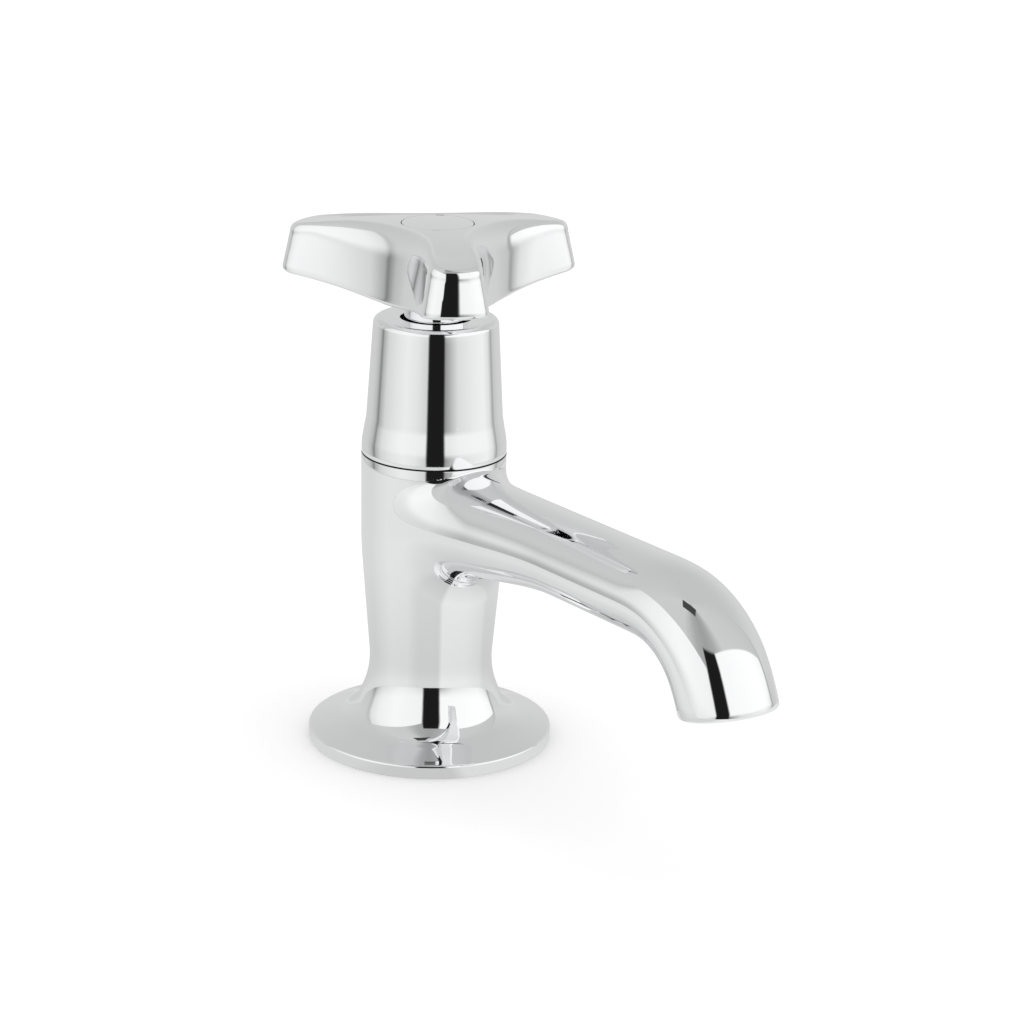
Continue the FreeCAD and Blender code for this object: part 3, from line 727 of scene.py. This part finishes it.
INNER = {
    "brass": finish("turned_brass", (0.78, 0.58, 0.27), 0.24, 1.0, 0.05, 700.0, 0.12, 0.06, (1, 1, 9)),
    "steel": finish("stainless_steel", (0.6, 0.6, 0.61), 0.28, 1.0, 0.05, 900.0, 0.1, 0.05, (1, 1, 7)),
    "black_rubber": finish("black_rubber", (0.022, 0.022, 0.023), 0.62, 0.0, 0.25, 1500.0, 0.15, 0.12),
    "red_fibre": finish("red_fibre", (0.42, 0.09, 0.05), 0.8, 0.0, 0.4, 1200.0, 0.1, 0.2),
    "nylon": finish("white_nylon", (0.8, 0.79, 0.74), 0.42, 0.0, 0.08, 800.0, 0.1, 0.03),
}
for entry in frame["record"]["subparts"]:
    if entry["material_slot"] in INNER:
        node = nodes[entry["node"]]
        node.data.materials.clear()
        node.data.materials.append(INNER[entry["material_slot"]])

# --- floor, light and camera ---

VIEW_TURN = math.radians(-35)
RIGHT = Vector((math.cos(VIEW_TURN), math.sin(VIEW_TURN), 0))
FRONT = Vector((math.sin(VIEW_TURN), -math.cos(VIEW_TURN), 0))


def along(build, way, degrees, height=0.0):
    """How far a direction points to a place: degrees right of the camera's side, and degrees up."""
    turn, lift = math.radians(degrees), math.radians(height)
    flat = RIGHT * math.sin(turn) + FRONT * math.cos(turn)
    towards = flat * math.cos(lift) + Vector((0, 0, math.sin(lift)))
    return build.node("VectorMath", {"operation": "DOT_PRODUCT"}, [way, towards]).out("Value")


def by_azimuth(build, way, stops):
    """Brightness by azimuth from the camera's side, in (degrees, brightness) stops."""
    turn = along(build, way, 90).math("ARCTAN2", along(build, way, 0)) / (2 * math.pi) + 0.5
    colours = [((degrees + 180) / 360, (level,) * 3) for degrees, level in stops]
    return build.node("ValToRGB", {"stops": colours}, {"Fac": turn}).out(0)


WHITE = (1.0, 1.0, 1.0, 1.0)


def floor():
    """White ground. Metal sees it near the tap as a glow of painted light, paler at the sides than in front
    and with a painted shadow close to the tap, and past it the studio.
    """
    bpy.ops.mesh.primitive_circle_add(vertices=96, radius=3.0, fill_type="NGON", location=(0, 0, 0))
    ground = bpy.context.object
    ground.name = "floor"
    material = bpy.data.materials.new("floor_white")
    build = Finish(material)
    rays = build.node("LightPath")
    plain = build.node("BsdfDiffuse", None, {"Color": (0.8, 0.8, 0.8, 1.0)}).out(0)
    contact = build.node("AmbientOcclusion", {"samples": 8}, {"Distance": 0.05}).out("AO")
    # the camera sees the ground white, and darker where the tap stands on it
    glow = rays.out("Is Camera Ray") * contact * 0.56
    lit = build.node("Emission", None, {"Color": WHITE, "Strength": glow}).out(0)
    both = build.node("AddShader", None, [plain, lit]).out(0)
    spot = build.place()
    # painted light: the ground that metal sees glows by azimuth, darker in front than at the sides, as light
    # falls on it
    tone = by_azimuth(build, spot, [
        (-180, 0.72), (-112, 0.72), (-72, 0.82), (-40, 0.80), (-22, 0.71), (12, 0.70), (19, 0.88), (60, 0.87),
        (94, 0.80), (104, 0.72), (180, 0.72)])
    # the ground that metal sees ends at a rim, a little nearer in front
    shifted = build.node("VectorMath", {"operation": "ADD"}, [spot, FRONT * 0.006]).out(0)
    reach = build.node("VectorMath", {"operation": "LENGTH"}, [shifted]).out("Value")
    # painted shadow: the glow darker close to the tap
    painted_shadow = reach.ramp(0.02, 0.10) * 0.14 + 0.86
    rim = 1 - reach.ramp(0.196, 0.200) * 0.2
    mirrored = build.node("Emission", None, {"Color": tone, "Strength": rim * painted_shadow}).out(0)
    open_air = build.node("BsdfTransparent").out(0)
    sheet = build.node("MixShader", None, [reach.ramp(0.200, 0.203), mirrored, open_air]).out(0)
    chosen = build.node("MixShader", None, [rays.out("Is Glossy Ray"), both, sheet]).out(0)
    build.node("OutputMaterial", None, {"Surface": chosen})
    ground.data.materials.append(material)


def band(value, low, high, soft):
    """1 between low and high, 0 outside, over a soft edge."""
    return value.ramp(low, low + soft) * (1 - value.ramp(high, high + soft))


def studio():
    """Two white walls with a dark gap between them, a grey ceiling with a dark hatch, and grey behind."""
    world = bpy.data.worlds.new("studio")
    bpy.context.scene.world = world
    build = Finish(world)
    way = build.node("TexCoord").out("Generated")
    rise = along(build, way, 0, 90)
    up = rise.math("ARCSINE") * (180 / math.pi)
    turn = along(build, way, 90).math("ARCTAN2", along(build, way, 0)) * (180 / math.pi)
    low = by_azimuth(build, way, [
        (-180, 0.67), (-132, 0.64), (-118, 0.52), (-111, 0.30), (-109, 0.22), (-106, 0.42), (-92, 0.70),
        (-70, 0.82), (-50, 0.89), (-30, 0.82), (-14, 0.68), (-11, 0.012), (15, 0.012), (18, 0.32),
        (27, 0.50), (40, 0.76), (70, 0.88), (92, 0.93), (106, 0.78), (113, 0.52), (116, 0.36),
        (120, 0.58), (136, 0.66), (180, 0.67)])
    walls = by_azimuth(build, way, [
        (-180, 0.70), (-116, 0.66), (-109, 0.52), (-103, 0.80), (-88, 0.92), (-60, 1.0), (-14, 0.94),
        (-11, 0.012), (15, 0.012), (18, 1.0), (92, 1.08), (112, 1.0), (115, 0.35), (118, 0.70), (180, 0.70)])
    ceiling = by_azimuth(build, way, [
        (-180, 0.57), (-115, 0.60), (-90, 0.64), (-45, 0.62), (-22, 0.42), (0, 0.36), (20, 0.42), (45, 0.64),
        (90, 0.62), (120, 0.58), (180, 0.57)])
    # each wall ends at a level top edge, and the gap and the back fade out higher up
    left_top = 1 - (along(build, way, -65) - rise).ramp(-0.02, 0.02)
    right_top = 1 - (along(build, way, 35) * 1.15 - rise).ramp(-0.02, 0.02)
    on_left, in_gap, on_right = band(turn, -110, -13, 2), band(turn, -13, 15, 2), band(turn, 15, 114, 2)
    behind = 1 - on_left - on_right - in_gap
    lifted = on_left * left_top + on_right * right_top + in_gap * up.ramp(46, 50) + behind * up.ramp(-5, 52)
    start = up.ramp(-9, 9)
    level = (low * (1 - start) + walls * start) * (1 - lifted) + ceiling * lifted
    ahead, aside = along(build, way, -30), along(build, way, 60)
    hatch = band(ahead, 0.03, 0.20, 0.01) * band(aside, -0.13, 0.10, 0.01) * rise.ramp(0.5, 0.6)
    level = level * (1 - hatch) + hatch * 0.06
    seen = build.node("LightPath").out("Is Camera Ray")
    strength = level * (1 - seen) + seen
    shade = build.node("Background", None, {"Color": WHITE, "Strength": strength}).out(0)
    build.node("OutputWorld", None, {"Surface": shade})


def camera():
    """The photograph's camera: its place and lens follow from the circles of flange, seam and button."""
    distance, height = 541.11, 218.35
    pitch, roll, yaw = math.radians(17.611), math.radians(1.429), math.radians(1.631)
    forward = Vector((math.sin(yaw) * math.cos(pitch), math.cos(yaw) * math.cos(pitch), -math.sin(pitch)))
    right = Vector((math.cos(yaw), -math.sin(yaw), 0))
    up = right.cross(forward)
    side = math.cos(roll) * right + math.sin(roll) * up
    top = -math.sin(roll) * right + math.cos(roll) * up
    facing = Matrix((side, top, -forward)).transposed().to_4x4()
    stand = Matrix.Translation(Vector((0, -distance, height)) * MM)
    place = Matrix.Rotation(VIEW_TURN, 4, "Z") @ stand @ facing
    lens = bpy.data.cameras.new("camera")
    lens.lens, lens.sensor_width, lens.clip_start = 102.26, 36.0, 0.01
    view = bpy.data.objects.new("camera", lens)
    bpy.context.scene.collection.objects.link(view)
    view.matrix_world = place
    bpy.context.scene.camera = view


floor()
studio()
camera()
bpy.context.scene.view_settings.view_transform = "Standard"
